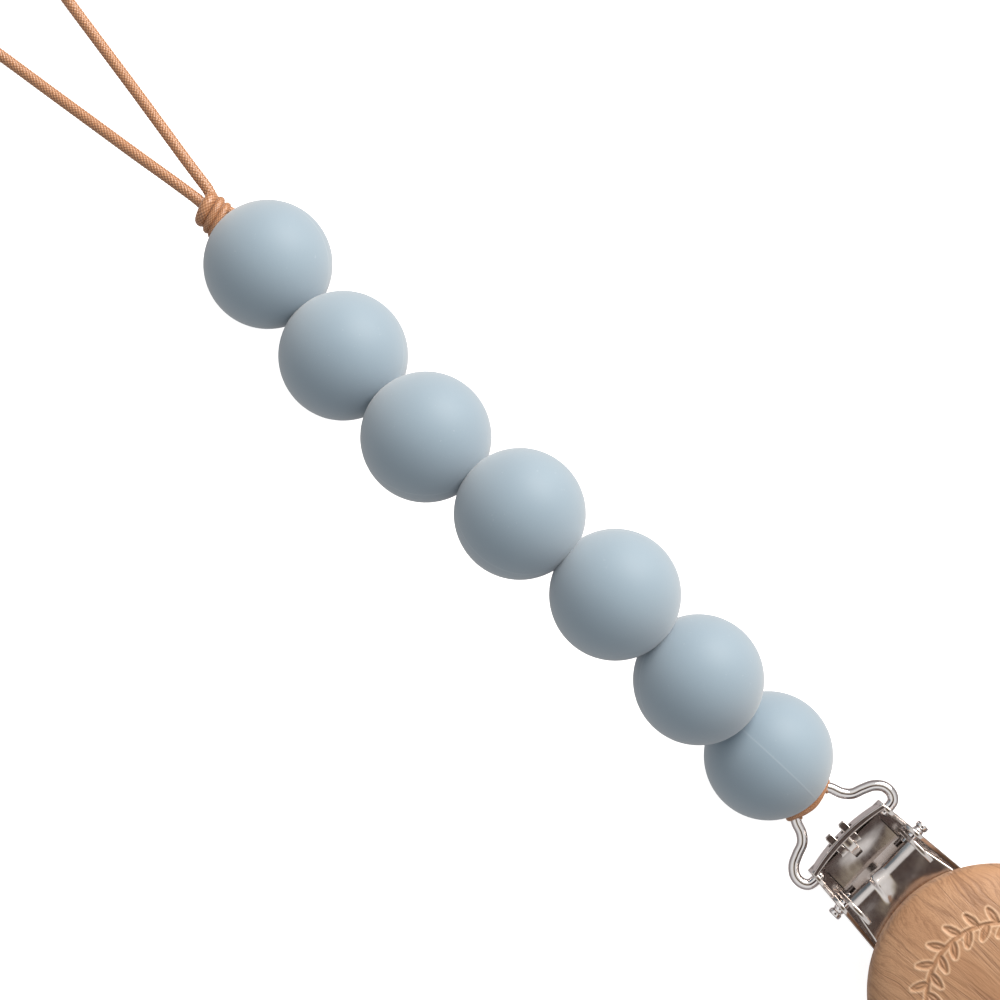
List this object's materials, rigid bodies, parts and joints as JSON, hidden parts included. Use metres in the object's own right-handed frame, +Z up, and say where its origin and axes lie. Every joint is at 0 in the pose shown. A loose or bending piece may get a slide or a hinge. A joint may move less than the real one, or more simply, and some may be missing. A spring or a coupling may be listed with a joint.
{
  "type": "beaded soother holder",
  "caption": "Soother holder: cord loop and knot, round silicone beads on a doubled cord, and a sprung-steel cam clip with a wire bail and a domed wooden disc.",
  "frame": {"origin": "on the surface the holder lies on, under the middle of the clip and the beads (the free loop and its knot are not counted)", "axes": "+X from the loop along the chain to the wooden disc, +Z up, +Y across the clip"},
  "size_m": [0.21, 0.0296, 0.0244],
  "materials": {
    "nickel": "pressed sheet steel, bright nickel plate",
    "wire": "drawn steel wire, polished nickel plate",
    "beech": "fine-sanded beech, oiled, satin",
    "silicone": "matte blue-grey silicone",
    "cord": "tan braided cord with a satin sheen",
    "insert": "white moulded plastic, ribbed"
  },
  "bodies": {
    "clip": {"clip_frame": "nickel"},
    "lever": {"lever_plate": "nickel", "pivot_stud_left": "nickel", "pivot_stud_right": "nickel", "disc_rivet_1": "nickel", "disc_rivet_2": "nickel", "wood_disc": "beech"},
    "jaw": {"jaw_plate": "nickel", "jaw_insert": "insert"},
    "bail": {"wire_bail": "wire"},
    "hitch": {"cord_hitch": "cord"},
    "string_7": {"cord_link_7": "cord"},
    "bead_7": {"bead_7": "silicone"},
    "string_6": {"cord_link_6": "cord"},
    "bead_6": {"bead_6": "silicone"},
    "string_5": {"cord_link_5": "cord"},
    "bead_5": {"bead_5": "silicone"},
    "string_4": {"cord_link_4": "cord"},
    "bead_4": {"bead_4": "silicone"},
    "string_3": {"cord_link_3": "cord"},
    "bead_3": {"bead_3": "silicone"},
    "string_2": {"cord_link_2": "cord"},
    "bead_2": {"bead_2": "silicone"},
    "string_1": {"cord_link_1": "cord"},
    "bead_1": {"bead_1": "silicone"},
    "loop": {"loop_knot": "cord", "cord_loop": "cord"}
  },
  "joints": [
    {"name": "lever_open", "type": "hinge", "parent": "clip", "child": "lever", "pos_m": [0.03669, 0.0004, 0.0043], "axis": [0, -1, 0], "range_deg": [0, 90]},
    {"name": "jaw_lift", "type": "hinge", "parent": "clip", "child": "jaw", "pos_m": [0.03159, 0.0004, 0.0022], "axis": [0, -1, 0], "range_deg": [0, 5]},
    {"name": "bail_lift", "type": "hinge", "parent": "clip", "child": "bail", "pos_m": [0.03259, 0.0004, 0.00225], "axis": [0, -1, 0], "range_deg": [-60, 0]},
    {"name": "hitch_swing", "type": "hinge", "parent": "bail", "child": "hitch", "pos_m": [0.0254, 0.0004, 0.00225], "axis": [0, -1, 0], "range_deg": [-20, 0]},
    {"name": "string_bend_7", "type": "hinge", "parent": "hitch", "child": "string_7", "pos_m": [0.02386, 0.00084, 0.00326], "axis": [0, 0, 1], "range_deg": [-12, 12]},
    {"name": "string_bend_6", "type": "hinge", "parent": "string_7", "child": "string_6", "pos_m": [0.01198, 0.00067, 0.01157], "axis": [0, 0, 1], "range_deg": [-11.4, 22.6]},
    {"name": "string_bend_5", "type": "hinge", "parent": "string_6", "child": "string_5", "pos_m": [-0.00132, 0.00178, 0.01643], "axis": [0, 0, 1], "range_deg": [-25.4, 8.6]},
    {"name": "string_bend_4", "type": "hinge", "parent": "string_5", "child": "string_4", "pos_m": [-0.01545, 0.0009, 0.01742], "axis": [0, 0, 1], "range_deg": [-19.2, 14.8]},
    {"name": "string_bend_3", "type": "hinge", "parent": "string_4", "child": "string_3", "pos_m": [-0.02955, -0.00054, 0.01643], "axis": [0, 0, 1], "range_deg": [-16.8, 17.2]},
    {"name": "string_bend_2", "type": "hinge", "parent": "string_3", "child": "string_2", "pos_m": [-0.04299, -0.00185, 0.01204], "axis": [0, 0, 1], "range_deg": [-6.8, 27.2]},
    {"name": "string_bend_1", "type": "hinge", "parent": "string_2", "child": "string_1", "pos_m": [-0.05652, -0.00076, 0.00789], "axis": [0, 0, 1], "range_deg": [-15.4, 18.6]},
    {"name": "turn_bead_1", "type": "hinge", "parent": "string_1", "child": "bead_1", "pos_m": [-0.06357, 0, 0.00752], "axis": [0.9928, -0.1079, 0.0523], "continuous": true},
    {"name": "turn_bead_2", "type": "hinge", "parent": "string_2", "child": "bead_2", "pos_m": [-0.04976, -0.00131, 0.00996], "axis": [0.9532, -0.0767, 0.2924], "continuous": true},
    {"name": "turn_bead_3", "type": "hinge", "parent": "string_3", "child": "bead_3", "pos_m": [-0.03627, -0.0012, 0.01423], "axis": [0.9465, 0.0928, 0.309], "continuous": true},
    {"name": "turn_bead_4", "type": "hinge", "parent": "string_4", "child": "bead_4", "pos_m": [-0.0225, 0.00018, 0.01692], "axis": [0.9925, 0.1008, 0.0698], "continuous": true},
    {"name": "turn_bead_5", "type": "hinge", "parent": "string_5", "child": "bead_5", "pos_m": [-0.00839, 0.00134, 0.01692], "axis": [0.9956, 0.0626, -0.0698], "continuous": true},
    {"name": "turn_bead_6", "type": "hinge", "parent": "string_6", "child": "bead_6", "pos_m": [0.00533, 0.00123, 0.014], "axis": [0.9364, -0.0786, -0.342], "continuous": true},
    {"name": "turn_bead_7", "type": "hinge", "parent": "string_7", "child": "bead_7", "pos_m": [0.01779, 0.00075, 0.0075], "axis": [0.8191, 0.0114, -0.5736], "continuous": true},
    {"name": "loop_swing", "type": "hinge", "parent": "string_1", "child": "loop", "pos_m": [-0.07062, 0.00077, 0.00715], "axis": [0, 0, 1], "range_deg": [-15, 15]}
  ],
  "couplings": [
    {"joint": "jaw_lift", "follows": "lever_open", "ratio": 0.0555}
  ]
}
